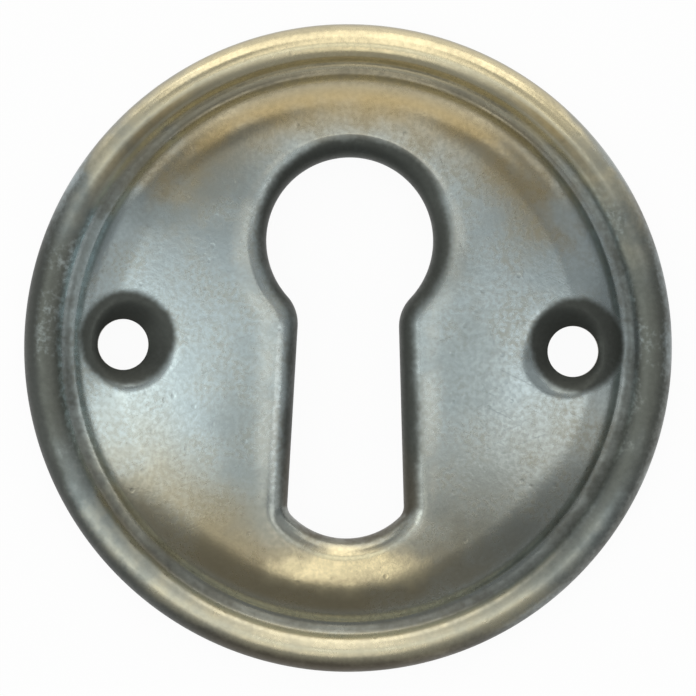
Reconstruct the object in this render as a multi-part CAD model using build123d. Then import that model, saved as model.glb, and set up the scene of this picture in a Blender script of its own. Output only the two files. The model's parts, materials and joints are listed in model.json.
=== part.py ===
from build123d import *
import os
from math import cos, radians, sin, sqrt, tan

# Round keyhole escutcheon, drawn and pierced as one piece from brass sheet.
# The back plane is z = 0, the front looks along +Z and the keyhole's round lies towards +Y.

# Sheet and outline, in millimetres
PLATE_DIAMETER = 30.0
SHEET = 0.7

# Section from the rim inwards: each radius is the inside of its bend, each angle is from level
RIM_SKIRT = 0.5
BEAD_INSIDE_RADIUS = 0.25
BEAD_FLANK_ANGLE = 48.0
VALLEY_INSIDE_RADIUS = 0.5
SHOULDER_ANGLE = 50.0
SHOULDER_INSIDE_RADIUS = 2.6
CROWN_ANGLE = 8.0

# Keyhole, centred on the plate: a round over a slot that widens towards a curved foot
KEYHOLE_FROM_RIM = 6.2
ROUND_DIAMETER = 7.7
NECK_WIDTH = 4.6
FOOT_WIDTH = 5.4
FOOT_RADIUS = 3.55
NECK_CORNER_RADIUS = 1.9
FOOT_CORNER_RADIUS = 0.7

# Lip: the keyhole's edge, drawn inwards through a right angle
LIP_INSIDE_RADIUS = 0.35
LIP_DEPTH = 1.6

# Screw holes, each in a dimple that seats a countersunk head
HOLE_FROM_RIM = 4.6
HOLE_DIAMETER = 2.35
DIMPLE_DIAMETER = 3.8
DIMPLE_ANGLE = 45.0
DIMPLE_INSIDE_RADIUS = 0.15

# Turn of the revolved seam, which keeps it off the keyhole and the dimples
SEAM_TURN = 45.0

# Radii of the front surface
RIM_RADIUS = PLATE_DIAMETER / 2
BEAD_RADIUS = BEAD_INSIDE_RADIUS + SHEET
SHOULDER_RADIUS = SHOULDER_INSIDE_RADIUS + SHEET
LIP_RADIUS = LIP_INSIDE_RADIUS + SHEET
DIMPLE_RADIUS = DIMPLE_INSIDE_RADIUS + SHEET

# Crown: it meets the shoulder's roll at its edge, and its apex lies on the plate's axis
FLANK = radians(BEAD_FLANK_ANGLE)
SHOULDER = radians(SHOULDER_ANGLE)
CROWN = radians(CROWN_ANGLE)
FLANK_RADII = BEAD_RADIUS + VALLEY_INSIDE_RADIUS
VALLEY_DISTANCE = RIM_RADIUS - BEAD_RADIUS - FLANK_RADII * sin(FLANK)
VALLEY_HEIGHT = RIM_SKIRT + BEAD_RADIUS - FLANK_RADII * (1 - cos(FLANK))
SHOULDER_WIDTH = VALLEY_INSIDE_RADIUS * sin(SHOULDER) + SHOULDER_RADIUS * (sin(SHOULDER) - sin(CROWN))
SHOULDER_RISE = VALLEY_INSIDE_RADIUS * (1 - cos(SHOULDER)) + SHOULDER_RADIUS * (cos(CROWN) - cos(SHOULDER))
CROWN_RADIUS = (VALLEY_DISTANCE - SHOULDER_WIDTH) / sin(CROWN)
APEX = VALLEY_HEIGHT + SHOULDER_RISE + CROWN_RADIUS * (1 - cos(CROWN))

# Places on the crown
KEYHOLE_REACH = RIM_RADIUS - KEYHOLE_FROM_RIM
HOLE_OFFSET = RIM_RADIUS - HOLE_FROM_RIM
HOLE_LEVEL = APEX - CROWN_RADIUS + sqrt(CROWN_RADIUS**2 - HOLE_OFFSET**2)
LIP_END = APEX - LIP_DEPTH

# Reach of a cutting tool past the plate
CLEAR = 2 * APEX


def domed_blank(depth):
    """Solid up to the domed surface that lies `depth` under the front, with its skirt untrimmed."""
    with BuildPart() as blank:
        with BuildSketch(Plane.XZ):
            with BuildLine():
                skirt = Line((RIM_RADIUS - depth, -CLEAR), (RIM_RADIUS - depth, RIM_SKIRT))
                bead = JernArc(skirt @ 1, skirt % 1, BEAD_RADIUS - depth, 90 + BEAD_FLANK_ANGLE)
                valley = JernArc(bead @ 1, bead % 1, VALLEY_INSIDE_RADIUS + depth,
                                 -(BEAD_FLANK_ANGLE + SHOULDER_ANGLE))
                roll = JernArc(valley @ 1, valley % 1, SHOULDER_RADIUS - depth,
                               SHOULDER_ANGLE - CROWN_ANGLE)
                crown = JernArc(roll @ 1, roll % 1, CROWN_RADIUS - depth, CROWN_ANGLE)
                Polyline(crown @ 1, (0, -CLEAR), skirt @ 0)
            make_face()
        revolve(axis=Axis.Z)
    return Rot(0, 0, SEAM_TURN) * blank.part


def keyhole_outline():
    """Face of the keyhole."""
    top, foot = KEYHOLE_REACH, -KEYHOLE_REACH
    half_round, half_neck, half_foot = ROUND_DIAMETER / 2, NECK_WIDTH / 2, FOOT_WIDTH / 2
    neck_height = top - half_round - sqrt(half_round**2 - half_neck**2)
    corner_height = foot + FOOT_RADIUS - sqrt(FOOT_RADIUS**2 - half_foot**2)
    with BuildSketch() as outline:
        with BuildLine():
            ThreePointArc((half_neck, neck_height), (0, top), (-half_neck, neck_height))
            Line((-half_neck, neck_height), (-half_foot, corner_height))
            ThreePointArc((-half_foot, corner_height), (0, foot), (half_foot, corner_height))
            Line((half_foot, corner_height), (half_neck, neck_height))
        make_face()
        fillet(outline.vertices().sort_by(Axis.Y)[:2], FOOT_CORNER_RADIUS)
        fillet(outline.vertices().sort_by(Axis.Y)[-2:], NECK_CORNER_RADIUS)
    return outline.sketch


def dimple_cone(side, depth):
    """Cone, point down, on the dimple's wall that lies `depth` under the front on that side."""
    slope = radians(DIMPLE_ANGLE)
    tip = HOLE_LEVEL - depth / cos(slope) - DIMPLE_DIAMETER / 2 * tan(slope)
    mouth = DIMPLE_DIAMETER / 2 + CLEAR
    return Solid.make_cone(0, mouth, mouth * tan(slope), Plane((side * HOLE_OFFSET, 0, tip)))


def rolled_cut(solid, tool, radius):
    """Cut the tool into the solid and roll the rim that it leaves to `radius`."""
    cut = solid - tool
    return fillet(new_edges(solid, tool, combined=cut), radius)


def pressed_form(depth, keyhole_bottom):
    """Solid up to the sheet's surface that lies `depth` under the front, with lip and dimples."""
    keyhole = extrude(offset(keyhole_outline(), depth), 2 * CLEAR)
    form = rolled_cut(domed_blank(depth), Pos(0, 0, keyhole_bottom) * keyhole, LIP_RADIUS - depth)
    for side in (-1, 1):
        form = rolled_cut(form, dimple_cone(side, depth), DIMPLE_RADIUS - depth)
    return form


def escutcheon_plate():
    """The sheet between its front and its back, trimmed to the back plane and pierced for the screws."""
    sheet = pressed_form(0, -CLEAR) - pressed_form(SHEET, LIP_END)
    plate = split(sheet, bisect_by=Plane.XY, keep=Keep.TOP)
    for side in (-1, 1):
        plate -= Pos(side * HOLE_OFFSET, 0, 0) * Cylinder(HOLE_DIAMETER / 2, 2 * CLEAR)
    return plate


os.makedirs("parts", exist_ok=True)
export_step(escutcheon_plate(), "parts/escutcheon_plate.step")
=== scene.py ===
"""A round keyhole escutcheon, pressed from brass sheet and antiqued, on a pale stage."""

import cmath
import json
import math
from typing import NamedTuple

import bpy
from bpy.props import FloatProperty, FloatVectorProperty, IntProperty, PointerProperty
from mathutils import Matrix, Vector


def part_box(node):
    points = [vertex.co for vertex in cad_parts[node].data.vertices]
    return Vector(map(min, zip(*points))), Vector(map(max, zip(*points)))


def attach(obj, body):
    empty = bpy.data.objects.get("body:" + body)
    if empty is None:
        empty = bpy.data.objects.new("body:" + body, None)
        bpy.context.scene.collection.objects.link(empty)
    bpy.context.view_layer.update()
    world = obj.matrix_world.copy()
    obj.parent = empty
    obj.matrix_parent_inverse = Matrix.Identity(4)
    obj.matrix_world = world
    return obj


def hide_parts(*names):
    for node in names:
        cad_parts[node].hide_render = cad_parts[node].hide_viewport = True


bl_info = {
    "name": "Keyhole Escutcheon",
    "version": (1, 0, 0),
    "blender": (4, 5, 0),
    "location": "3D View > Sidebar > Escutcheon",
    "description": "Presses a keyhole escutcheon from brass sheet, antiques it and sets it on a stage",
    "category": "Object",
}

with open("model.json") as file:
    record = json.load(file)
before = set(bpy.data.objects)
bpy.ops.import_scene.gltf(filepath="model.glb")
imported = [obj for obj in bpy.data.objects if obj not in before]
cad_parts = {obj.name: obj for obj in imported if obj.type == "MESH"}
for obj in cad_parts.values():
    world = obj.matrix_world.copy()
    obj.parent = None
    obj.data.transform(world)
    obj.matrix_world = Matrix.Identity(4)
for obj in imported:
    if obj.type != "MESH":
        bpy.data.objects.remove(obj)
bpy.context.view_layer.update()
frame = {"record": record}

NODE = "escutcheon_plate"
BODY = "root"

MM = 0.001
QUARTER_TURN = math.pi / 2
FULL_TURN = 2 * math.pi

# Sizes that the fixed frame gives
mounts = {mount["name"]: mount for mount in frame["record"]["mounts"]}
screw_pattern = mounts["screw_holes"]["dims"]
HOLE_OFFSET = screw_pattern["spacing_x_mm"] / 2 * MM
HOLE_RADIUS = screw_pattern["hole_r_mm"] * MM
_, plate_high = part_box(NODE)

# Fineness of the mesh
BEND_STEP = math.radians(8.0)
SHOULDER_STEP = math.radians(2.5)
OUTLINE_STEP = math.radians(2.0)
CROWDING = 0.6
SHARP_EDGE = math.radians(30.0)
HOLE_SIDES = 96
MERGE = 0.0005 * MM

# A smooth minimum lowers a crease by its width over this number
CREASE_SHARE = 6


class Patch(NamedTuple):
    """An oval on the front, by its middle and its half sizes in millimetres."""

    x: float
    y: float
    half_width: float
    half_height: float


# Where the crown is darkened, partly by mottled toning and partly by painted shade that stands for darker
# reflections; and where the foot is bare brass under a painted highlight
TONING_AND_SHADE_PATCHES = (
    Patch(5.6, -0.8, 2.5, 4.6),
    Patch(4.7, 4.0, 1.6, 2.4),
    Patch(7.2, -8.3, 4.2, 3.2),
    Patch(-4.9, -4.4, 2.1, 6.6),
    Patch(-5.9, 7.5, 4.4, 3.0),
    Patch(-8.8, 6.4, 2.3, 1.9),
    Patch(-5.2, -7.3, 2.8, 2.1),
)
# Painted highlight: bare brass under the foot, where the light catches the crown
FOOT_BARE_HIGHLIGHT_PATCH = Patch(0.0, -10.1, 4.0, 1.3)

# Where the shoulder's brown and greys come in, by distance from the axis in millimetres; the brown is a
# painted warm reflection at the top and painted shade at the lower left
BROWN_BAND = (7.4, 10.6)
GREY_TOP_BAND = (11.5, 12.4)
GREY_FOOT_BAND = (11.9, 12.6)

# Directions of the scratches in radians, and the stretch that draws a noise out into lines
SCRATCH_TURNS = (0.35, 1.9, 2.7)
SCRATCH_STRETCH = (2.5, 0.07, 1.0)


class Softbox(NamedTuple):
    """A rectangular lamp that faces the plate, in degrees and metres.

    The bearing is from +X and the steepness from straight up. The size is along the bearing, then across it.
    """

    bearing: float
    steepness: float
    size: tuple
    tint: tuple
    brightness: float
    distance: float = 0.5


SKY_TINT = (0.95, 1.0, 1.0)
SUN_TINT = (1.0, 0.97, 0.90)
AMBER_TINT = (1.0, 0.96, 0.86)
WEST_TINT = (0.97, 1.0, 0.98)
CORNER_TINT = (0.98, 1.0, 0.98)
EAST_TINT = (1.0, 1.0, 0.98)

SOFTBOXES = {
    "overhead": Softbox(184.0, 4.5, (0.34, 0.13), SKY_TINT, 0.82),
    "window": Softbox(90.0, 66.0, (0.48, 0.75), SUN_TINT, 1.27, distance=0.6),
    "north": Softbox(86.0, 28.0, (0.29, 0.16), SUN_TINT, 1.1),
    "west": Softbox(201.0, 48.5, (0.66, 0.21), WEST_TINT, 1.45),
    "corner": Softbox(161.0, 45.5, (0.55, 0.28), CORNER_TINT, 0.42),
    "east": Softbox(-14.0, 29.0, (0.30, 0.12), EAST_TINT, 1.35),
    "south": Softbox(263.0, 22.5, (0.20, 0.12), AMBER_TINT, 0.97),
    "sill_right": Softbox(51.0, 81.0, (0.12, 0.24), SUN_TINT, 0.9),
    "sill_left": Softbox(131.0, 81.0, (0.12, 0.26), SUN_TINT, 1.0),
    "west_low": Softbox(188.0, 84.0, (0.10, 0.35), WEST_TINT, 0.6),
    "east_low": Softbox(-15.0, 66.0, (0.34, 0.16), EAST_TINT, 0.5),
    "dim_corner": Softbox(32.0, 54.0, (0.48, 0.30), EAST_TINT, 0.20),
}


def length(name, description, default):
    """A property that holds a length in metres."""
    return FloatProperty(
        name=name, description=description, default=default, min=0.0, precision=5, unit="LENGTH",
    )


def angle(name, description, degrees):
    """A property that holds an angle."""
    return FloatProperty(
        name=name, description=description, default=math.radians(degrees), subtype="ANGLE",
    )


def share(name, description, default):
    """A property that holds a share from none to all."""
    return FloatProperty(
        name=name, description=description, default=default, min=0.0, max=1.0, subtype="FACTOR",
    )


def colour(name, description, default):
    """A property that holds a colour."""
    return FloatVectorProperty(
        name=name, description=description, default=default, size=3, min=0.0, subtype="COLOR",
    )


def count(name, description, default, least):
    """A property that holds a whole number."""
    return IntProperty(name=name, description=description, default=default, min=least)


class SheetSizes(bpy.types.PropertyGroup):
    """Section of the pressed sheet, from the rim inwards; each radius is the inside of its bend."""

    rim_radius: length("Rim Radius", "Distance of the rim from the plate's axis", plate_high.x)
    thickness: length("Sheet", "Thickness of the sheet", 0.7 * MM)
    rim_skirt: length("Rim Skirt", "Straight drop under the bead", 0.5 * MM)
    bead_radius: length("Bead Radius", "Inside of the bead's bend", 0.25 * MM)
    bead_flank: angle("Bead Flank", "Slope of the bead towards the valley", 48.0)
    valley_radius: length("Valley Radius", "Inside of the valley's bend", 0.5 * MM)
    shoulder_slope: angle("Shoulder Slope", "Slope of the shoulder at the valley", 50.0)
    shoulder_radius: length("Shoulder Radius", "Inside of the shoulder's roll", 2.6 * MM)
    crown_slope: angle("Crown Slope", "Slope of the crown at its edge", 8.0)
    crown_rows: count("Crown Rows", "Rows of faces across the crown", 48, 8)


class KeyholeSizes(bpy.types.PropertyGroup):
    """Outline of the keyhole, centred on the plate, and its lip."""

    reach: length("Reach", "Distance of the keyhole's top and foot from the plate's axis", 8.8 * MM)
    round_radius: length("Round", "Radius of the keyhole's round", 3.85 * MM)
    neck_width: length("Neck Width", "Width of the slot where it meets the round", 4.6 * MM)
    foot_width: length("Foot Width", "Width of the slot at its foot", 5.4 * MM)
    foot_radius: length("Foot Radius", "Radius of the curved foot", 3.55 * MM)
    neck_corner: length("Neck Corner", "Radius of the corner between round and slot", 1.9 * MM)
    foot_corner: length("Foot Corner", "Radius of the corner between slot and foot", 0.7 * MM)
    lip_radius: length("Lip Radius", "Inside of the lip's bend", 0.35 * MM)
    lip_depth: length("Lip Depth", "Reach of the lip below the crown's apex", 1.6 * MM)
    points: count("Points", "Points round the keyhole", 360, 60)


class ScrewHoleSizes(bpy.types.PropertyGroup):
    """The two screw holes and the dimples that they are pierced in."""

    offset: length("Offset", "Distance of a hole from the plate's axis", HOLE_OFFSET)
    radius: length("Radius", "Radius of a hole", HOLE_RADIUS)
    dimple_radius: length("Dimple Radius", "Radius of a dimple's mouth", 1.9 * MM)
    dimple_slope: angle("Dimple Slope", "Slope of a dimple's wall", 45.0)
    dimple_roll: length("Dimple Roll", "Inside of the bend at a dimple's mouth", 0.15 * MM)


class ToningAndShadeSizes(bpy.types.PropertyGroup):
    """Reach of the toning, the bare brass and the painted shade across the section."""

    valley: length("Valley", "Half width of the dark line in the valley", 0.5 * MM)
    # Painted shade: the dark band down the outside of the rim
    skirt: length("Skirt", "Width of the dark band down the rim", 1.0 * MM)
    crest: length("Crest", "Half width of what the buff touches on the bead", 1.2 * MM)
    # Painted shade: a strip inside the crest, darkened so that the highlight sits further out
    lee: length("Lee Shade", "Half width of the strip inside the crest that the buff skips", 0.4 * MM)
    arris: length("Arris", "Half width of the wear along the keyhole's arris", 0.9 * MM)
    pool: length("Pool", "Width over which the dark toning round a dimple fades", 0.65 * MM)
    # Painted shade: these shifts set a dimple's dark further to the right and up
    pool_right: length("Pool Right", "Shift of a dimple's dark toning to the right", 0.2 * MM)
    pool_up: length("Pool Up", "Shift of a dimple's dark toning upwards", 0.3 * MM)


class Finish(bpy.types.PropertyGroup):
    """Colours of the antiqued brass, some of them laid as painted light and shade, and how far each goes."""

    field: colour("Field", "Grey-green toning of the crown", (0.405, 0.465, 0.477))
    worn: colour("Worn", "Crown where its toning is worn thin", (0.58, 0.60, 0.56))
    # Also a painted warm reflection on the upper shoulder
    warm: colour("Warm Toning", "Brown toning towards the shoulder", (0.325, 0.258, 0.138))
    # Also laid as painted highlight on the bead and under the foot
    bare_brass_and_highlight: colour("Relieved", "Brass that the buff has laid bare", (0.80, 0.70, 0.455))
    # Also laid as painted shade on the crown's dark patches, the bead's sides and the shoulder
    tarnish_and_shade: colour("Tarnish", "Grey toning left where the buff passes lightly", (0.145, 0.153, 0.136))
    # Patina in the hollows, also laid as painted shade on the skirt
    recess_and_shade: colour("Recess", "Dark toning that stays in the recesses", (0.070, 0.075, 0.068))
    back: colour("Back", "Toning of the back, which is not buffed", (0.10, 0.085, 0.06))
    specks: share("Specks", "Warm specks in the grain of the crown", 0.35)
    wear: share("Wear", "Wear along the keyhole's arris", 0.45)
    # Toning and painted shade: how deep the crown's dark patches go
    patch_depth: share("Dark Patches", "Depth of the smoky patches", 0.36)
    olive: share("Olive", "Warm cast over the lower crown", 0.25)
    # Painted reflection and painted shade: how deep the shoulder's brown goes
    brown: share("Brown", "Depth of the brown towards the shoulder", 0.85)
    # Grey near the valley, at the top and at the foot
    grey_top: share("Grey Top", "Grey left on the shoulder at the top", 0.42)
    grey_foot: share("Grey Foot", "Grey left on the shoulder at the foot", 0.5)
    glint: share("Glint", "Sheen of the dark toning seen at a low angle", 0.12)


class StageSizes(bpy.types.PropertyGroup):
    """Camera, room and floor."""

    camera_height: length("Camera Height", "Height of the camera above the floor", 0.45)
    picture_width: length("Picture Width", "Width that the picture takes in at the rim", 32.23 * MM)
    roll: angle("Roll", "Turn of the camera about its line of sight", 0.9)
    floor_size: length("Floor Size", "Side of the floor", 4.0)
    floor_gap: length("Floor Gap", "Drop of the floor below the rim", 0.02 * MM)
    floor: colour("Floor", "Colour of the floor", (0.9, 0.9, 0.9))
    floor_glow: share("Floor Glow", "Share of the floor's white that no shadow dims", 0.95)
    room: colour("Room", "Light of the room round the stage", (0.30, 0.31, 0.31))


class Field:
    """One value in a node tree; arithmetic on fields adds the nodes that work it out."""

    def __init__(self, graph, socket):
        self.graph = graph
        self.socket = socket

    def __add__(self, other):
        return self.graph.math("ADD", self, other)

    def __sub__(self, other):
        return self.graph.math("SUBTRACT", self, other)

    def __rsub__(self, other):
        return self.graph.math("SUBTRACT", other, self)

    def __mul__(self, other):
        return self.graph.math("MULTIPLY", self, other)

    def __truediv__(self, other):
        return self.graph.math("DIVIDE", self, other)

    def __rtruediv__(self, other):
        return self.graph.math("DIVIDE", other, self)

    def __abs__(self):
        return self.graph.math("ABSOLUTE", self)

    __radd__ = __add__
    __rmul__ = __mul__


class Graph:
    """A node tree, with calls that add nodes and wire them."""

    COLUMNS = 12
    SPACING = 220

    def __init__(self, tree):
        self.tree = tree

    def wire(self, value, socket):
        """Link a field to a socket, or set the socket to a plain value."""
        if isinstance(value, Field):
            self.tree.links.new(value.socket, socket)
        else:
            socket.default_value = value

    def node(self, kind, inputs=(), **settings):
        """Add a node with these settings, and wire its inputs by name or place."""
        row, column = divmod(len(self.tree.nodes), self.COLUMNS)
        node = self.tree.nodes.new(kind)
        node.location = (self.SPACING * column, -self.SPACING * row)
        for name, value in settings.items():
            setattr(node, name, value)
        for name, value in dict(inputs).items():
            self.wire(value, node.inputs[name])
        return node

    def out(self, kind, inputs=(), output=0, **settings):
        """Add a node and give one of its outputs as a field."""
        return Field(self, self.node(kind, inputs, **settings).outputs[output])

    def math(self, operation, *values):
        return self.out("ShaderNodeMath", enumerate(values), operation=operation)

    def least(self, one, other):
        return self.math("MINIMUM", one, other)

    def most(self, one, other):
        return self.math("MAXIMUM", one, other)

    def ramp(self, value, start, end):
        """A smooth step from 0 at the start to 1 at the end."""
        places = {"Value": value, "From Min": start, "From Max": end}
        return self.out("ShaderNodeMapRange", places, interpolation_type="SMOOTHSTEP")

    def blend(self, one, other, factor):
        """A number between two numbers."""
        return one + (other - one) * factor

    def hypotenuse(self, x, y):
        return self.math("SQRT", x * x + y * y)

    def parts(self, vector):
        """The three numbers of a vector."""
        node = self.node("ShaderNodeSeparateXYZ", {"Vector": vector})
        return [Field(self, output) for output in node.outputs]

    def vector(self, x, y, z):
        return self.out("ShaderNodeCombineXYZ", {"X": x, "Y": y, "Z": z})

    def sockets(self, in_out, kinds, defaults=()):
        """Give the tree its inputs or outputs by name, and the default values of those that have one."""
        values = dict(defaults)
        for name, kind in kinds.items():
            socket = self.tree.interface.new_socket(name=name, in_out=in_out, socket_type=kind)
            if name in values:
                socket.default_value = values[name]

    def given(self):
        """The tree's inputs as fields, by name."""
        node = self.node("NodeGroupInput")
        return {output.name: Field(self, output) for output in node.outputs if output.name}

    def give(self, **values):
        """Wire the tree's outputs."""
        self.node("NodeGroupOutput", values)


class Pen:
    """Draws straight runs and round bends that follow on from each other, as points on a plane."""

    def __init__(self, place, heading):
        self.place = place
        self.heading = heading
        self.points = [place]

    def move(self, place):
        self.place = place
        self.points.append(place)

    def reach(self, place, steps=1, crowding=0.0):
        """Go straight to a place, in steps that may crowd towards it."""
        start = self.place
        for step in range(steps):
            done = (step + 1) / steps
            self.move(start + (place - start) * done * (1 + crowding * (1 - done)))

    def run(self, distance):
        """Go straight on."""
        self.move(self.place + cmath.rect(distance, self.heading))

    def bend(self, radius, turn, step):
        """Turn left, or right where the turn is negative, round a bend of that radius."""
        centre = self.place + cmath.rect(math.copysign(radius, turn), self.heading + QUARTER_TURN)
        arm = self.place - centre
        steps = math.ceil(abs(turn) / step)
        for done in range(1, steps + 1):
            self.move(centre + arm * cmath.rect(1, turn * done / steps))
        self.heading += turn


class Crown:
    """The domed field inside the shoulder: where its edge lies and how high it stands."""

    def __init__(self, sheet):
        bead = sheet.bead_radius + sheet.thickness
        shoulder = sheet.shoulder_radius + sheet.thickness
        flank, slope, edge = sheet.bead_flank, sheet.shoulder_slope, sheet.crown_slope
        flank_radii = bead + sheet.valley_radius
        self.crest = sheet.rim_radius - bead
        self.valley = self.crest - flank_radii * math.sin(flank)
        valley_height = sheet.rim_skirt + bead - flank_radii * (1 - math.cos(flank))
        width = sheet.valley_radius * math.sin(slope) + shoulder * (math.sin(slope) - math.sin(edge))
        rise = sheet.valley_radius * (1 - math.cos(slope)) + shoulder * (math.cos(edge) - math.cos(slope))
        self.edge = self.valley - width
        self.radius = self.edge / math.sin(edge)
        self.apex = valley_height + rise + self.radius * (1 - math.cos(edge))

    def height(self, distance):
        return self.apex - self.radius + math.sqrt(self.radius**2 - distance**2)


def section_line(sheet, keyhole, field, depth):
    """Line across the sheet from lip to rim, `depth` under the front, with heights over the crown."""
    lip = keyhole.lip_radius + sheet.thickness
    pen = Pen(complex(depth - lip, -keyhole.lip_depth), QUARTER_TURN)
    pen.run(keyhole.lip_depth - lip)
    pen.bend(lip - depth, -QUARTER_TURN, BEND_STEP)
    pen.reach(field + cmath.rect(depth, -QUARTER_TURN - sheet.crown_slope), sheet.crown_rows, CROWDING)
    pen.heading = -sheet.crown_slope
    shoulder = sheet.shoulder_radius + sheet.thickness - depth
    pen.bend(shoulder, sheet.crown_slope - sheet.shoulder_slope, SHOULDER_STEP)
    pen.bend(sheet.valley_radius + depth, sheet.shoulder_slope + sheet.bead_flank, BEND_STEP)
    pen.bend(sheet.bead_radius + sheet.thickness - depth, -sheet.bead_flank - QUARTER_TURN, BEND_STEP)
    pen.run(sheet.rim_skirt)
    return [(point.real, point.imag, depth) for point in pen.points]


def sheet_section(sheet, keyhole, field):
    """Closed section of the sheet: the back from lip to rim, then the front from rim to lip."""
    front = section_line(sheet, keyhole, field, 0.0)
    back = section_line(sheet, keyhole, field, sheet.thickness)
    return back + front[::-1]


def corner_centre(start, heading, beside, centre, distance):
    """Centre of a corner's arc: `beside` the slot's edge, left of its heading, `distance` from a centre."""
    along = cmath.rect(1, heading)
    arm = start + along * 1j * beside - centre
    down = (arm * along.conjugate()).real
    return centre + arm + along * (math.sqrt(down**2 - abs(arm) ** 2 + distance**2) - down)


def keyhole_outline(keyhole):
    """Outline of the keyhole, clockwise from its top."""
    top = complex(0, keyhole.reach)
    half_neck, half_foot = keyhole.neck_width / 2, keyhole.foot_width / 2
    round_centre = top - complex(0, keyhole.round_radius)
    foot_centre = complex(0, keyhole.foot_radius) - top
    neck = round_centre + complex(half_neck, -math.sqrt(keyhole.round_radius**2 - half_neck**2))
    foot = foot_centre + complex(half_foot, -math.sqrt(keyhole.foot_radius**2 - half_foot**2))
    edge = cmath.phase(foot - neck)
    neck_centre = corner_centre(neck, edge, keyhole.neck_corner, round_centre,
                                keyhole.round_radius + keyhole.neck_corner)
    foot_corner_centre = corner_centre(neck, edge, -keyhole.foot_corner, foot_centre,
                                       keyhole.foot_radius - keyhole.foot_corner)
    round_turn = cmath.phase(neck_centre - round_centre) - QUARTER_TURN
    foot_turn = -QUARTER_TURN - cmath.phase(foot_corner_centre - foot_centre)
    pen = Pen(top, 0.0)
    pen.bend(keyhole.round_radius, round_turn, OUTLINE_STEP)
    pen.bend(keyhole.neck_corner, edge - pen.heading, OUTLINE_STEP)
    pen.reach(foot_corner_centre + cmath.rect(keyhole.foot_corner, edge + QUARTER_TURN))
    pen.heading = edge
    pen.bend(keyhole.foot_corner, -math.pi - foot_turn - edge, OUTLINE_STEP)
    pen.bend(keyhole.foot_radius, foot_turn, OUTLINE_STEP)
    right = pen.points
    left = [-point.conjugate() for point in right[-2:0:-1]]
    return [(point.real, point.imag, 0.0) for point in right + left]


def closed_curve(name, points):
    """A curve object that runs through the points and back to the first."""
    curve = bpy.data.curves.new(name, "CURVE")
    curve.dimensions = "3D"
    spline = curve.splines.new("POLY")
    spline.points.add(len(points) - 1)
    for knot, place in zip(spline.points, points):
        knot.co = (*place, 1.0)
    spline.use_cyclic_u = True
    thing = bpy.data.objects.new(name, curve)
    bpy.context.scene.collection.objects.link(thing)
    return thing


def capture(graph, geometry, **fields):
    """Keep fields as they are on this geometry, for use after it has changed."""
    node = graph.node("GeometryNodeCaptureAttribute", {"Geometry": geometry})
    for name, field in fields.items():
        node.capture_items.new("VECTOR" if field.socket.type == "VECTOR" else "FLOAT", name)
        graph.wire(field, node.inputs[name])
    return [Field(graph, node.outputs[name]) for name in ("Geometry", *fields)]


def store(graph, geometry, domain, **values):
    """Store numbers on the mesh's points or faces under their names."""
    for name, value in values.items():
        inputs = {"Geometry": geometry, "Name": name, "Value": value}
        geometry = graph.out("GeometryNodeStoreNamedAttribute", inputs, data_type="FLOAT", domain=domain)
    return geometry


def pressing_sizes(sheet, keyhole, holes, toning, crown, field):
    """Sizes that the pressing needs, by the names of its inputs."""
    return {
        "Sheet": sheet.thickness,
        "Rim Radius": sheet.rim_radius,
        "Lip Radius": keyhole.lip_radius + sheet.thickness,
        "Lip End": crown.apex - keyhole.lip_depth,
        "Field": field,
        "Crown Edge": crown.edge,
        "Crown Radius": crown.radius,
        "Crown Apex": crown.apex,
        "Valley": crown.valley,
        "Crest": crown.crest,
        "Hole Offset": holes.offset,
        "Hole Radius": holes.radius,
        "Dimple Radius": holes.dimple_radius,
        "Dimple Level": crown.height(holes.offset),
        "Dimple Slope": holes.dimple_slope,
        "Dimple Roll": holes.dimple_roll,
        "Valley Toning": toning.valley,
        "Skirt Shade": toning.skirt,
        "Crest Buff": toning.crest,
        "Lee Shade": toning.lee,
        "Arris Wear": toning.arris,
        "Pool Fade": toning.pool,
        "Pool Right": toning.pool_right,
        "Pool Up": toning.pool_up,
    }


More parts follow.
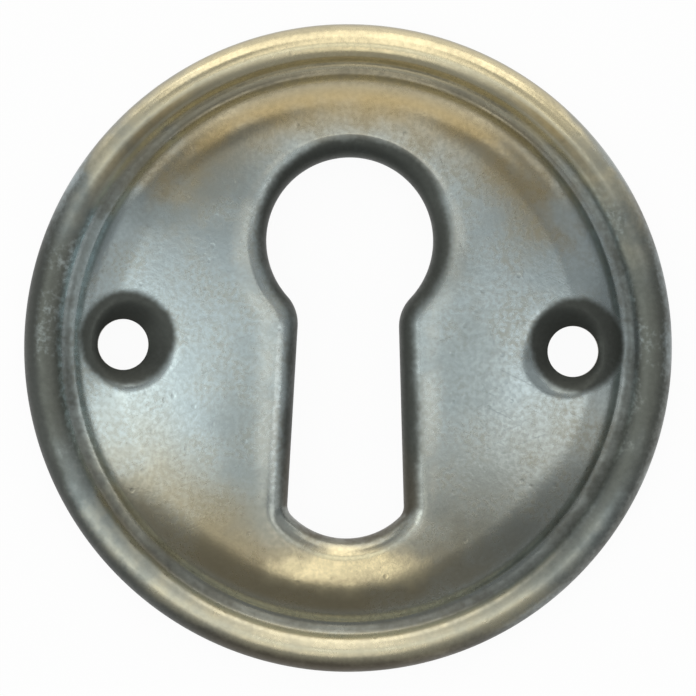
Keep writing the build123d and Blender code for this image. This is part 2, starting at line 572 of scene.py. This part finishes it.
class Pressing:
    """Node tree that presses the plate; each step takes the plate on from the step before."""

    def __init__(self, sizes):
        self.tree = bpy.data.node_groups.new("Pressed Sheet", "GeometryNodeTree")
        self.graph = Graph(self.tree)
        self.graph.sockets("INPUT", {
            "Keyhole Outline": "NodeSocketGeometry",
            "Section": "NodeSocketObject",
            "Points": "NodeSocketInt",
            **dict.fromkeys(sizes, "NodeSocketFloat"),
            "Front": "NodeSocketMaterial",
            "Back": "NodeSocketMaterial",
        }, sizes)
        self.graph.sockets("OUTPUT", {"Plate": "NodeSocketGeometry"})
        self.given = self.graph.given()
        self.lay_section()
        self.place_in_plan()
        self.raise_crown()
        self.sink_dimples()
        self.mark_lip()
        self.mark_rim()
        self.pierce_holes()
        self.mark_dimples()
        self.dress()
        self.graph.give(Plate=self.plate)

    def lay_section(self):
        """Lay the sheet's section round the keyhole, and keep what places each point."""
        graph, given = self.graph, self.given

        # On the outline: its place, the direction out of it and a bearing on the rim, crowded to the holes
        outline = graph.out("GeometryNodeResampleCurve",
                            {"Curve": given["Keyhole Outline"], "Count": given["Points"]})
        along_x, along_y, _ = graph.parts(graph.out("GeometryNodeInputTangent"))
        even = QUARTER_TURN - graph.out("GeometryNodeInputIndex") / given["Points"] * FULL_TURN
        outline, place, outwards, bearing = capture(
            graph, outline,
            place=graph.out("GeometryNodeInputPosition"),
            outwards=graph.vector(along_y * -1, along_x, 0.0),
            bearing=even - graph.math("SINE", even * 2) * (CROWDING / 2),
        )

        # On the section: the reach from the lip, the rise over the crown and the depth in the sheet
        section = graph.out("GeometryNodeObjectInfo", {"Object": given["Section"]}, output="Geometry")
        section, spot = capture(graph, section, spot=graph.out("GeometryNodeInputPosition"))
        self.plate = graph.out("GeometryNodeCurveToMesh", {"Curve": outline, "Profile Curve": section})
        self.reach, self.rise, self.depth = graph.parts(spot)
        self.place_x, self.place_y, _ = graph.parts(place)
        self.out_x, self.out_y, _ = graph.parts(outwards)
        self.ring_x = graph.math("COSINE", bearing)
        self.ring_y = graph.math("SINE", bearing)

    def place_in_plan(self):
        """Place points square to the outline on the lip, in rings on the rim, and blended over the crown."""
        graph, given = self.graph, self.given
        from_outline = given["Lip Radius"] + graph.least(self.reach, 0.0)
        over_crown = graph.least(graph.most(self.reach / given["Field"], 0.0), 1.0)
        past_crown = graph.most(self.reach - given["Field"], 0.0)

        def between(place, out, ring):
            on_lip = place + out * from_outline
            return graph.blend(on_lip, ring * given["Crown Edge"], over_crown) + ring * past_crown

        self.x = between(self.place_x, self.out_x, self.ring_x)
        self.y = between(self.place_y, self.out_y, self.ring_y)
        self.from_axis = graph.hypotenuse(self.x, self.y)

    def raise_crown(self):
        """Raise the section over the crown's sphere, with the lip's end cut level."""
        graph, given = self.graph, self.given
        sphere = given["Crown Radius"]
        on_crown = graph.least(self.from_axis, given["Crown Edge"])
        drop = sphere - graph.math("SQRT", sphere * sphere - on_crown * on_crown)
        height = given["Crown Apex"] - drop + self.rise
        on_lip = graph.math("LESS_THAN", self.reach, 0.0)
        self.height = graph.blend(height, graph.most(height, given["Lip End"]), on_lip)

    def sink_dimples(self):
        """Sink a cone round each hole, rolled into the crown."""
        graph, given = self.graph, self.given
        slope = given["Dimple Slope"]
        from_hole = graph.hypotenuse(abs(self.x) - given["Hole Offset"], self.y)
        cone = given["Dimple Level"] - self.depth / graph.math("COSINE", slope)
        cone = cone + (from_hole - given["Dimple Radius"]) * graph.math("TANGENT", slope)
        half_slope = graph.math("TANGENT", slope / 2)
        roll_share = CREASE_SHARE - CREASE_SHARE * graph.math("SQRT", 1 - half_slope * half_slope)
        roll = (given["Dimple Roll"] + given["Sheet"] - self.depth) * roll_share
        dished = graph.math("SMOOTH_MIN", self.height, cone, roll)
        place = graph.vector(self.x, self.y, dished)
        self.plate = graph.out("GeometryNodeSetPosition", {"Geometry": self.plate, "Position": place})

    def mark_lip(self):
        """Mark the dark toning down the lip, the wear along its arris, and what the buff never touches."""
        graph, given = self.graph, self.given

        # Patina down the lip reaches further on the right and the top as painted shade, and is thinner at the
        # foot and its corners but for the edge
        upwards, downwards = graph.most(self.out_y, 0.0), graph.least(self.out_y, 0.0)
        at_foot = graph.ramp(self.place_y, -2.0 * MM, -6.0 * MM)
        thinned_at_foot = (downwards * 0.4 + downwards * abs(self.out_x) * 0.8) * at_foot
        shade_lean = self.out_x * 0.2 + upwards * 0.4 + thinned_at_foot
        down_lip = self.reach / given["Lip Radius"]
        at_edge = graph.ramp(down_lip, -0.5, -0.85) * 0.6
        in_lip = graph.most(graph.ramp(down_lip - shade_lean, 0.05, -0.9), at_edge)
        on_arris = graph.ramp(abs(self.reach - 0.2 * MM), given["Arris Wear"], 0.1 * MM)
        self.plate = store(graph, self.plate, "POINT", lip=in_lip, arris=on_arris)
        unbuffed = graph.math("GREATER_THAN", self.depth, given["Sheet"] * 0.4)
        self.plate = store(graph, self.plate, "FACE", unbuffed=unbuffed)

    def mark_rim(self):
        """Mark the valley's patina, the skirt's painted shade, the bead's crest, and a strip of painted shade
        inside the crest that sets the crest's highlight further out.
        """
        graph, given = self.graph, self.given
        at_top = graph.ramp(self.ring_y, 0.85, 1.0)
        to_right = graph.ramp(self.ring_x, 0.0, 0.8)
        # Painted shade: the valley's dark line lies further in at the top and is wider on the right
        widened = to_right * (0.15 * MM)
        from_valley = self.from_axis - given["Valley"] + at_top * (0.35 * MM) - widened
        in_valley = graph.ramp(abs(from_valley), given["Valley Toning"] + widened, 0.05 * MM)
        from_rim = given["Rim Radius"] - self.from_axis
        on_skirt = graph.ramp(from_rim, given["Skirt Shade"], 0.1 * MM)
        from_crest = self.from_axis - given["Crest"]
        on_crest = graph.ramp(abs(from_crest), given["Crest Buff"], 0.3 * MM)
        # Painted shade on the crest's inner flank, at the upper corners and on the right
        high_corner = graph.most(self.ring_y, 0.0) * abs(self.ring_x) * 2
        flank_shade = graph.most(high_corner * high_corner, to_right * to_right * 0.7)
        in_lee_shade = graph.ramp(abs(from_crest + 0.25 * MM), given["Lee Shade"], 0.1 * MM) * flank_shade
        self.plate = store(graph, self.plate, "POINT",
                           valley=in_valley, skirt=on_skirt, crest=on_crest, lee=in_lee_shade)

    def pierce_holes(self):
        """Pierce the screw holes with an upright punch on each side."""
        graph, given = self.graph, self.given
        ends = graph.out("GeometryNodeMeshLine", {
            "Count": 2,
            "Start Location": graph.vector(given["Hole Offset"] * -1, 0.0, 0.0),
            "Offset": graph.vector(given["Hole Offset"], 0.0, 0.0),
        }, mode="END_POINTS", count_mode="TOTAL")
        punch = graph.out("GeometryNodeMeshCylinder", {
            "Vertices": HOLE_SIDES, "Radius": given["Hole Radius"], "Depth": given["Crown Apex"] * 4,
        })
        punches = graph.out("GeometryNodeInstanceOnPoints", {"Points": ends, "Instance": punch})
        punches = graph.out("GeometryNodeRealizeInstances", {"Geometry": punches})
        punches = store(graph, punches, "FACE", unbuffed=1.0)
        pierced = graph.out("GeometryNodeMeshBoolean", {"Mesh 1": self.plate, "Mesh 2": punches},
                            operation="DIFFERENCE", solver="MANIFOLD")
        plate = graph.out("GeometryNodeRealizeInstances", {"Geometry": pierced})
        self.plate = graph.out("GeometryNodeMergeByDistance", {"Geometry": plate, "Distance": MERGE})

    def mark_dimples(self):
        """Mark the patina in the dimples, up to the edge that the punch has cut, shifted right and up as
        painted shade.
        """
        graph, given = self.graph, self.given
        x, y, _ = graph.parts(graph.out("GeometryNodeInputPosition"))
        beside_pool = abs(x - given["Pool Right"]) - given["Hole Offset"]
        from_pool = graph.hypotenuse(beside_pool, y - given["Pool Up"])
        faded = given["Dimple Radius"] + given["Pool Fade"]
        in_dimple = graph.ramp(from_pool, faded, given["Dimple Radius"])
        self.plate = store(graph, self.plate, "POINT", dimple=in_dimple)

    def dress(self):
        """Shade the bends smooth and the cut edges crisp, and give each side its finish."""
        graph, given = self.graph, self.given
        plate = graph.out("GeometryNodeSetShadeSmooth",
                          {"Geometry": self.plate, "Shade Smooth": True}, domain="FACE")
        crisp = graph.math("GREATER_THAN", graph.out("GeometryNodeInputMeshEdgeAngle"), SHARP_EDGE)
        plate = graph.out("GeometryNodeSetShadeSmooth",
                          {"Geometry": plate, "Selection": crisp, "Shade Smooth": False}, domain="EDGE")
        plate = graph.out("GeometryNodeSetMaterial", {"Geometry": plate, "Material": given["Front"]})
        unbuffed = graph.out("GeometryNodeInputNamedAttribute", {"Name": "unbuffed"}, data_type="FLOAT")
        self.plate = graph.out("GeometryNodeSetMaterial",
                               {"Geometry": plate, "Selection": unbuffed, "Material": given["Back"]})


def plain_mesh(thing, tree, values):
    """The mesh that a node tree makes of an object, with the tree's named inputs set."""
    modifier = thing.modifiers.new(tree.name, "NODES")
    modifier.node_group = tree
    for socket in tree.interface.items_tree:
        if socket.name in values:
            modifier[socket.identifier] = values[socket.name]
    depsgraph = bpy.context.evaluated_depsgraph_get()
    evaluated = thing.evaluated_get(depsgraph)
    mesh = bpy.data.meshes.new_from_object(evaluated, preserve_all_data_layers=True, depsgraph=depsgraph)
    thing.modifiers.remove(modifier)
    return mesh


def new_material(name):
    """An empty material and its graph."""
    material = bpy.data.materials.new(name)
    material.use_nodes = True
    material.node_tree.nodes.clear()
    return material, Graph(material.node_tree)


def shader_group(name, sizes, outputs):
    """A shader node group that takes a place and these sizes, its graph and its inputs."""
    tree = bpy.data.node_groups.new(name, "ShaderNodeTree")
    graph = Graph(tree)
    graph.sockets("INPUT", {"Place": "NodeSocketVector", **dict.fromkeys(sizes, "NodeSocketFloat")}, sizes)
    graph.sockets("OUTPUT", dict.fromkeys(outputs, "NodeSocketFloat"))
    return tree, graph, graph.given()


def mottling_group():
    """Clouds and grain of a toned surface, from 0 to 1; sizes are in millimetres."""
    sizes = {"Cloud Size": 2.0, "Grain Size": 0.25}
    tree, graph, given = shader_group("Mottled Toning", sizes, ("Clouds", "Grain"))
    clouds = graph.out("ShaderNodeTexNoise",
                       {"Vector": given["Place"], "Scale": 1 / given["Cloud Size"], "Detail": 4.0})
    grain = graph.out("ShaderNodeTexNoise",
                      {"Vector": given["Place"], "Scale": 1 / given["Grain Size"], "Detail": 3.0})
    graph.give(Clouds=graph.ramp(clouds, 0.32, 0.68), Grain=graph.ramp(grain, 0.25, 0.75))
    return tree


def handling_group():
    """Hairline scratches and pits of a handled surface: a height in millimetres and a mask of the marks."""
    sizes = {"Scratch Depth": 0.0008, "Pit Depth": 0.004}
    tree, graph, given = shader_group("Handling Marks", sizes, ("Height", "Marks"))
    scratches = 0.0
    for turn in SCRATCH_TURNS:
        place = graph.out("ShaderNodeMapping", {
            "Vector": given["Place"], "Rotation": (0.0, 0.0, turn), "Scale": SCRATCH_STRETCH,
        }, vector_type="TEXTURE")
        line = graph.out("ShaderNodeTexNoise", {"Vector": place, "Scale": 1.0, "Detail": 1.0})
        scratches = graph.ramp(line, 0.70, 0.78) + scratches
    cells = graph.out("ShaderNodeTexVoronoi", {"Vector": given["Place"], "Scale": 1.1}, output="Distance")
    pits = graph.ramp(cells, 0.16, 0.05)
    graph.give(Height=(scratches * given["Scratch Depth"] + pits * given["Pit Depth"]) * -1,
               Marks=graph.least(scratches + pits, 1.0))
    return tree


def shared_effects():
    """The shader groups that both finishes use."""
    return {"mottling": mottling_group(), "handling": handling_group()}


def place_group(graph, tree, **values):
    """A shader group in a material, with its outputs by name."""
    node = graph.node("ShaderNodeGroup", node_tree=tree)
    for name, value in values.items():
        graph.wire(value, node.inputs[name.replace("_", " ").title()])
    return {output.name: Field(graph, output) for output in node.outputs}


def mixed_colour(graph, one, other, factor):
    """A colour between two colours."""
    node = graph.node("ShaderNodeMix", data_type="RGBA")
    graph.wire(factor, node.inputs["Factor"])
    for value, socket in zip((one, other), [socket for socket in node.inputs if socket.type == "RGBA"]):
        graph.wire(value if isinstance(value, Field) else (*value, 1.0), socket)
    return Field(graph, next(output for output in node.outputs if output.type == "RGBA"))


def surface_place(graph):
    """Place on the piece in millimetres."""
    place = graph.out("ShaderNodeTexCoord", output="Object")
    return graph.out("ShaderNodeVectorMath", {0: place, "Scale": 1 / MM}, operation="SCALE")


def stored(graph, name):
    """A number that the mesh's points hold."""
    return graph.out("ShaderNodeAttribute", attribute_name=name, output="Fac")


def metal(graph, base, roughness, metallic, sheen, height):
    """A metal shader with a bumped surface, to the material's output."""
    bump = graph.out("ShaderNodeBump", {"Height": height, "Distance": MM, "Strength": 1.0})
    shader = graph.out("ShaderNodeBsdfPrincipled", {
        "Base Color": base,
        "Roughness": roughness,
        "Metallic": metallic,
        "Specular IOR Level": sheen,
        "Normal": bump,
    })
    graph.node("ShaderNodeOutputMaterial", {"Surface": shader})


class AntiquedBrassPaintedLight:
    """The front's finish: toned all over, bared on what stands proud, with painted highlight and painted
    shade laid by bearing.
    """

    def __init__(self, finish, effects):
        self.finish = finish
        self.material, self.graph = new_material("antiqued_brass_painted_light")
        self.read_surface(effects)
        self.weigh_bare_and_highlight()
        self.tone_crown()
        self.colour_shoulder()
        self.colour_bead_crest()
        self.bare_foot_with_highlight()
        self.darken_hollows_and_shade()
        self.shade()

    def lay(self, tint, factor):
        """Lay a colour over the base."""
        self.base = mixed_colour(self.graph, self.base, tint, factor)

    def from_patch(self, patch):
        """Distance from an oval's middle, which is 1 on its edge."""
        across = (self.x - patch.x) / patch.half_width
        return self.graph.hypotenuse(across, (self.y - patch.y) / patch.half_height)

    def read_surface(self, effects):
        """Read where a point lies, how the toning is mottled there and what the pressing marked."""
        graph = self.graph
        place = surface_place(graph)
        mottling = place_group(graph, effects["mottling"], place=place, cloud_size=2.2, grain_size=0.22)
        handling = place_group(graph, effects["handling"], place=place)
        self.x, self.y, _ = graph.parts(place)
        self.from_axis = graph.hypotenuse(self.x, self.y)
        self.north = self.y / self.from_axis
        self.east = self.x / self.from_axis
        self.clouds, self.grain = mottling["Clouds"], mottling["Grain"]
        self.uneven = self.clouds - 0.5
        self.grainy = self.grain - 0.5
        self.marks, self.scratched = handling["Marks"], handling["Height"]
        self.recess_and_shade = graph.most(stored(graph, "lip"), stored(graph, "dimple"))
        self.lee = stored(graph, "lee")

    def weigh_bare_and_highlight(self):
        """Weigh the bare brass on the bead by bearing, as a painted highlight: most on the top, less on the
        foot, least on the sides.
        """
        graph = self.graph
        self.lean = self.north + self.uneven * 0.2
        self.on_top = graph.ramp(self.lean + graph.most(self.east, 0.0) * 0.12, 0.42, 0.92)
        self.at_foot = graph.ramp(self.north, -0.8, -1.0)
        self.crest_bare_and_highlight = (self.on_top + graph.ramp(self.lean, -0.5, -1.0) * 0.75) * (1 - self.lee)

    def tone_crown(self):
        """Tone the crown: warm specks, wear along the keyhole, dark patches that are partly toning and partly
        painted shade, and an olive lower part.
        """
        graph, finish = self.graph, self.finish
        self.base = mixed_colour(graph, finish.field, finish.warm, self.clouds * self.grain * finish.specks)
        self.lay(finish.worn, stored(graph, "arris") * (finish.wear + self.uneven * 0.5))
        from_dark_patch = 1.0
        for patch in TONING_AND_SHADE_PATCHES:
            from_dark_patch = graph.least(self.from_patch(patch), from_dark_patch)
        # Painted shade: the patches darken the crown where its reflections run darker
        patch_toning_and_shade = graph.ramp(from_dark_patch + self.uneven * 0.4, 1.0, 0.1)
        self.lay(finish.tarnish_and_shade, patch_toning_and_shade * finish.patch_depth)
        self.lay(finish.warm, graph.ramp(self.y - self.x * 0.3, -3.5, -8.0) * finish.olive)

    def colour_shoulder(self):
        """Colour the shoulder: brown as a painted warm reflection at the top and as painted shade at the
        lower left, with grey near the valley at the top and the foot.
        """
        graph, finish = self.graph, self.finish
        shoulder = self.from_axis + self.uneven * 0.6 - self.on_top * 1.2 - self.at_foot * 0.5
        low_left = graph.ramp(self.lean * 0.95 + self.east * 0.31, -0.45, -1.0)
        brown_sheen_and_shade = self.on_top * 1.15 + low_left * 0.9
        self.lay(finish.warm, graph.ramp(shoulder, *BROWN_BAND) * brown_sheen_and_shade * finish.brown)
        grey = mixed_colour(graph, finish.tarnish_and_shade, finish.field, 0.3)
        self.lay(grey, graph.ramp(self.from_axis, *GREY_TOP_BAND) * self.on_top * finish.grey_top)
        low = graph.ramp(self.lean, -0.6, -0.9)
        self.lay(finish.field, graph.ramp(self.from_axis, *GREY_FOOT_BAND) * low * finish.grey_foot)

    def colour_bead_crest(self):
        """Colour the bead's crest: bare brass as painted highlight on the top and the foot, dull as painted
        shade on the sides and on the inner flank.
        """
        graph, finish = self.graph, self.finish
        crest = stored(graph, "crest") * (1 + self.uneven * 0.4 + self.grainy * 0.3)
        spread = graph.most(self.on_top, self.at_foot * 0.6)
        self.crest = graph.ramp(crest, graph.blend(0.3, 0.05, spread), graph.blend(0.9, 0.5, spread))
        # Painted shade: the crest is darker on the sides and on its inner flank
        dull = mixed_colour(graph, finish.tarnish_and_shade, finish.field, graph.ramp(abs(self.lean), 0.15, 1.0))
        flank_shade = mixed_colour(graph, finish.tarnish_and_shade, finish.warm, self.on_top)
        dull = mixed_colour(graph, dull, flank_shade, self.lee)
        self.lay(mixed_colour(graph, dull, finish.bare_brass_and_highlight, self.crest_bare_and_highlight), self.crest)

    def bare_foot_with_highlight(self):
        """Lay bare brass under the keyhole's foot, which is also a painted highlight."""
        foot_bare_and_highlight = self.from_patch(FOOT_BARE_HIGHLIGHT_PATCH) + self.uneven * 0.4
        self.foot_bare_and_highlight = self.graph.ramp(foot_bare_and_highlight, 1.1, 0.3) * (1 - self.recess_and_shade)
        self.lay(self.finish.bare_brass_and_highlight, self.foot_bare_and_highlight)

    def darken_hollows_and_shade(self):
        """Lay dark patina in the lip, the dimples and the valley, and painted shade on the skirt; the dark is
        thinner under the foot's bare patch.
        """
        graph, finish = self.graph, self.finish
        shade_lean = graph.ramp(self.east, -1.0, 0.6)
        at_left = graph.ramp(self.east, -0.9, -1.0)
        # Patina in the valley, made lighter at the top and the foot and darker to the right as painted light
        # and shade
        valley = graph.blend(0.68 + shade_lean * 0.06, 0.38, self.on_top) * (1 - self.at_foot * 0.4)
        # Painted shade: the skirt is darker at the foot and on the left, and lighter on the right and at the
        # top
        skirt = 1.0 - shade_lean * 0.4 + self.at_foot * 0.2 + at_left * 0.4
        skirt = graph.blend(skirt, 0.3, graph.ramp(self.north, 0.1, 0.7))
        toning_and_shade = graph.most(self.recess_and_shade, stored(graph, "valley") * valley)
        toning_and_shade = graph.most(toning_and_shade, stored(graph, "skirt") * skirt)
        toning_and_shade = graph.ramp(toning_and_shade + self.uneven * 0.2 + self.grainy * 0.06, 0.05, 0.95)
        self.toning_and_shade = toning_and_shade * (1 - self.foot_bare_and_highlight * 0.6)
        self.lay(mixed_colour(graph, finish.recess_and_shade, finish.back, self.at_foot), self.toning_and_shade)

    def shade(self):
        """Dull the grain and the marks, and shade the metal."""
        graph = self.graph
        marked = graph.least(self.grain * 0.6 + self.marks * 0.4, 1.0)
        base = mixed_colour(graph, (0.0, 0.0, 0.0), self.base, graph.blend(1.0, 0.83, marked))
        bared = graph.most(self.crest * self.crest_bare_and_highlight, self.foot_bare_and_highlight)
        matt = graph.most(self.crest * (1 - self.crest_bare_and_highlight) * 0.2, self.toning_and_shade * 0.2)
        roughness = graph.blend(0.25, 0.22, bared) + self.grainy * 0.06 + self.uneven * 0.05 + matt
        metallic = graph.blend(1.0, 0.6, self.toning_and_shade)
        sheen = graph.blend(0.5, self.finish.glint, self.recess_and_shade)
        metal(graph, base, roughness, metallic, sheen, self.scratched + self.grainy * 0.0015)


def toned_brass(finish, effects):
    """The back: toned and left dull."""
    material, graph = new_material("toned_brass")
    place = surface_place(graph)
    mottling = place_group(graph, effects["mottling"], place=place, cloud_size=1.4, grain_size=0.18)
    handling = place_group(graph, effects["handling"], place=place, scratch_depth=0.001)
    faded = [channel * 1.7 for channel in finish.back]
    base = mixed_colour(graph, finish.back, faded, mottling["Clouds"] * 0.7 + mottling["Grain"] * 0.3)
    roughness = 0.45 + mottling["Grain"] * 0.12 - handling["Marks"] * 0.08
    metal(graph, base, roughness, 0.85, 0.5, handling["Height"] + mottling["Grain"] * 0.003)
    return material


class EscutcheonPlate(bpy.types.Operator):
    """Press the plate from sheet, pierce it and antique it"""

    bl_idname = "escutcheon.plate"
    bl_label = "Press Plate"

    def execute(self, context):
        scene = context.scene
        sheet, keyhole, finish = scene.escutcheon_sheet, scene.escutcheon_keyhole, scene.escutcheon_finish
        effects = shared_effects()
        crown = Crown(sheet)
        field = crown.edge - keyhole.neck_width / 2 - keyhole.lip_radius - sheet.thickness
        outline = closed_curve("keyhole_outline", keyhole_outline(keyhole))
        section = closed_curve("sheet_section", sheet_section(sheet, keyhole, field))
        sizes = pressing_sizes(sheet, keyhole, scene.escutcheon_holes, scene.escutcheon_toning, crown, field)
        mesh = plain_mesh(outline, Pressing(sizes).tree, {
            "Section": section,
            "Points": keyhole.points,
            **sizes,
            "Front": AntiquedBrassPaintedLight(finish, effects).material,
            "Back": toned_brass(finish, effects),
        })
        bpy.data.objects.remove(outline)
        bpy.data.objects.remove(section)
        plate = bpy.data.objects.new("pressed_plate", mesh)
        scene.collection.objects.link(plate)
        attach(plate, BODY)
        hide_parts(NODE)
        return {"FINISHED"}


def make_floor(stage):
    """A pale floor, white to the camera and in reflections under a soft shadow, and clear from below."""
    half, level = stage.floor_size / 2, -stage.floor_gap
    mesh = bpy.data.meshes.new("floor")
    corners = [(-half, -half, level), (half, -half, level), (half, half, level), (-half, half, level)]
    mesh.from_pydata(corners, [], [(0, 1, 2, 3)])
    material, graph = new_material("floor_white")
    path = graph.node("ShaderNodeLightPath")
    camera, glossy, through = (
        Field(graph, path.outputs[name]) for name in ("Is Camera Ray", "Is Glossy Ray", "Is Transmission Ray")
    )
    seen = graph.most(graph.most(camera, glossy), through)
    lit = graph.out("ShaderNodeBsdfDiffuse", {"Color": (*stage.floor, 1.0)})
    glow = graph.out("ShaderNodeEmission", {"Color": (1.0, 1.0, 1.0, 1.0), "Strength": 1.0})
    white = graph.out("ShaderNodeMixShader", {0: seen * stage.floor_glow, 1: lit, 2: glow})
    below = graph.out("ShaderNodeNewGeometry", output="Backfacing")
    clear = graph.out("ShaderNodeBsdfTransparent")
    sided = graph.out("ShaderNodeMixShader", {0: below, 1: white, 2: clear})
    graph.node("ShaderNodeOutputMaterial", {"Surface": sided})
    mesh.materials.append(material)
    floor = bpy.data.objects.new("floor", mesh)
    bpy.context.scene.collection.objects.link(floor)


def make_softbox(name, softbox):
    """A softbox's lamp, at its distance from the plate and turned to face it."""
    bearing, steepness = math.radians(softbox.bearing), math.radians(softbox.steepness)
    lamp = bpy.data.lights.new(name, "AREA")
    lamp.shape = "RECTANGLE"
    lamp.size, lamp.size_y = softbox.size
    lamp.color = softbox.tint
    lamp.energy = math.pi * lamp.size * lamp.size_y * softbox.brightness
    thing = bpy.data.objects.new(name, lamp)
    thing.rotation_euler = (0.0, steepness, bearing)
    level = softbox.distance * math.sin(steepness)
    height = softbox.distance * math.cos(steepness)
    thing.location = (level * math.cos(bearing), level * math.sin(bearing), height)
    thing.visible_camera = False
    bpy.context.scene.collection.objects.link(thing)


def make_room(stage):
    """Even light from the room round the stage."""
    world = bpy.data.worlds.new("room")
    world.use_nodes = True
    world.node_tree.nodes.clear()
    graph = Graph(world.node_tree)
    light = graph.out("ShaderNodeBackground", {"Color": (*stage.room, 1.0), "Strength": 1.0})
    graph.node("ShaderNodeOutputWorld", {"Surface": light})
    bpy.context.scene.world = world


def make_camera(stage, rim_height):
    """A camera with a long lens, straight above the plate."""
    lens = bpy.data.cameras.new("camera")
    lens.sensor_width = 36.0
    lens.lens = lens.sensor_width * (stage.camera_height - rim_height) / stage.picture_width
    camera = bpy.data.objects.new("camera", lens)
    camera.location = (0.0, 0.0, stage.camera_height)
    camera.rotation_euler = (0.0, 0.0, stage.roll)
    bpy.context.scene.collection.objects.link(camera)
    bpy.context.scene.camera = camera


class EscutcheonStage(bpy.types.Operator):
    """Set the floor, the lamps and the camera"""

    bl_idname = "escutcheon.stage"
    bl_label = "Set Stage"

    def execute(self, context):
        stage = context.scene.escutcheon_stage
        make_floor(stage)
        make_room(stage)
        for name, softbox in SOFTBOXES.items():
            make_softbox(name, softbox)
        make_camera(stage, context.scene.escutcheon_sheet.rim_skirt)
        context.scene.view_settings.view_transform = "Standard"
        return {"FINISHED"}


GROUPS = {
    "escutcheon_sheet": SheetSizes,
    "escutcheon_keyhole": KeyholeSizes,
    "escutcheon_holes": ScrewHoleSizes,
    "escutcheon_toning": ToningAndShadeSizes,
    "escutcheon_finish": Finish,
    "escutcheon_stage": StageSizes,
}
STEPS = (EscutcheonPlate, EscutcheonStage)


class EscutcheonPanel(bpy.types.Panel):
    """Sizes and colours of the escutcheon, and the steps that make it"""

    bl_idname = "VIEW3D_PT_escutcheon"
    bl_label = "Keyhole Escutcheon"
    bl_space_type = "VIEW_3D"
    bl_region_type = "UI"
    bl_category = "Escutcheon"

    def draw(self, context):
        for name, group in GROUPS.items():
            box = self.layout.box()
            for size in group.__annotations__:
                box.prop(getattr(context.scene, name), size)
        for step in STEPS:
            self.layout.operator(step.bl_idname)


CLASSES = (*GROUPS.values(), *STEPS, EscutcheonPanel)


def register():
    for item in CLASSES:
        bpy.utils.register_class(item)
    for name, group in GROUPS.items():
        setattr(bpy.types.Scene, name, PointerProperty(type=group))


def unregister():
    for name in GROUPS:
        delattr(bpy.types.Scene, name)
    for item in reversed(CLASSES):
        bpy.utils.unregister_class(item)


def main():
    register()
    bpy.ops.escutcheon.plate()
    bpy.ops.escutcheon.stage()


if __name__ == "__main__":
    main()
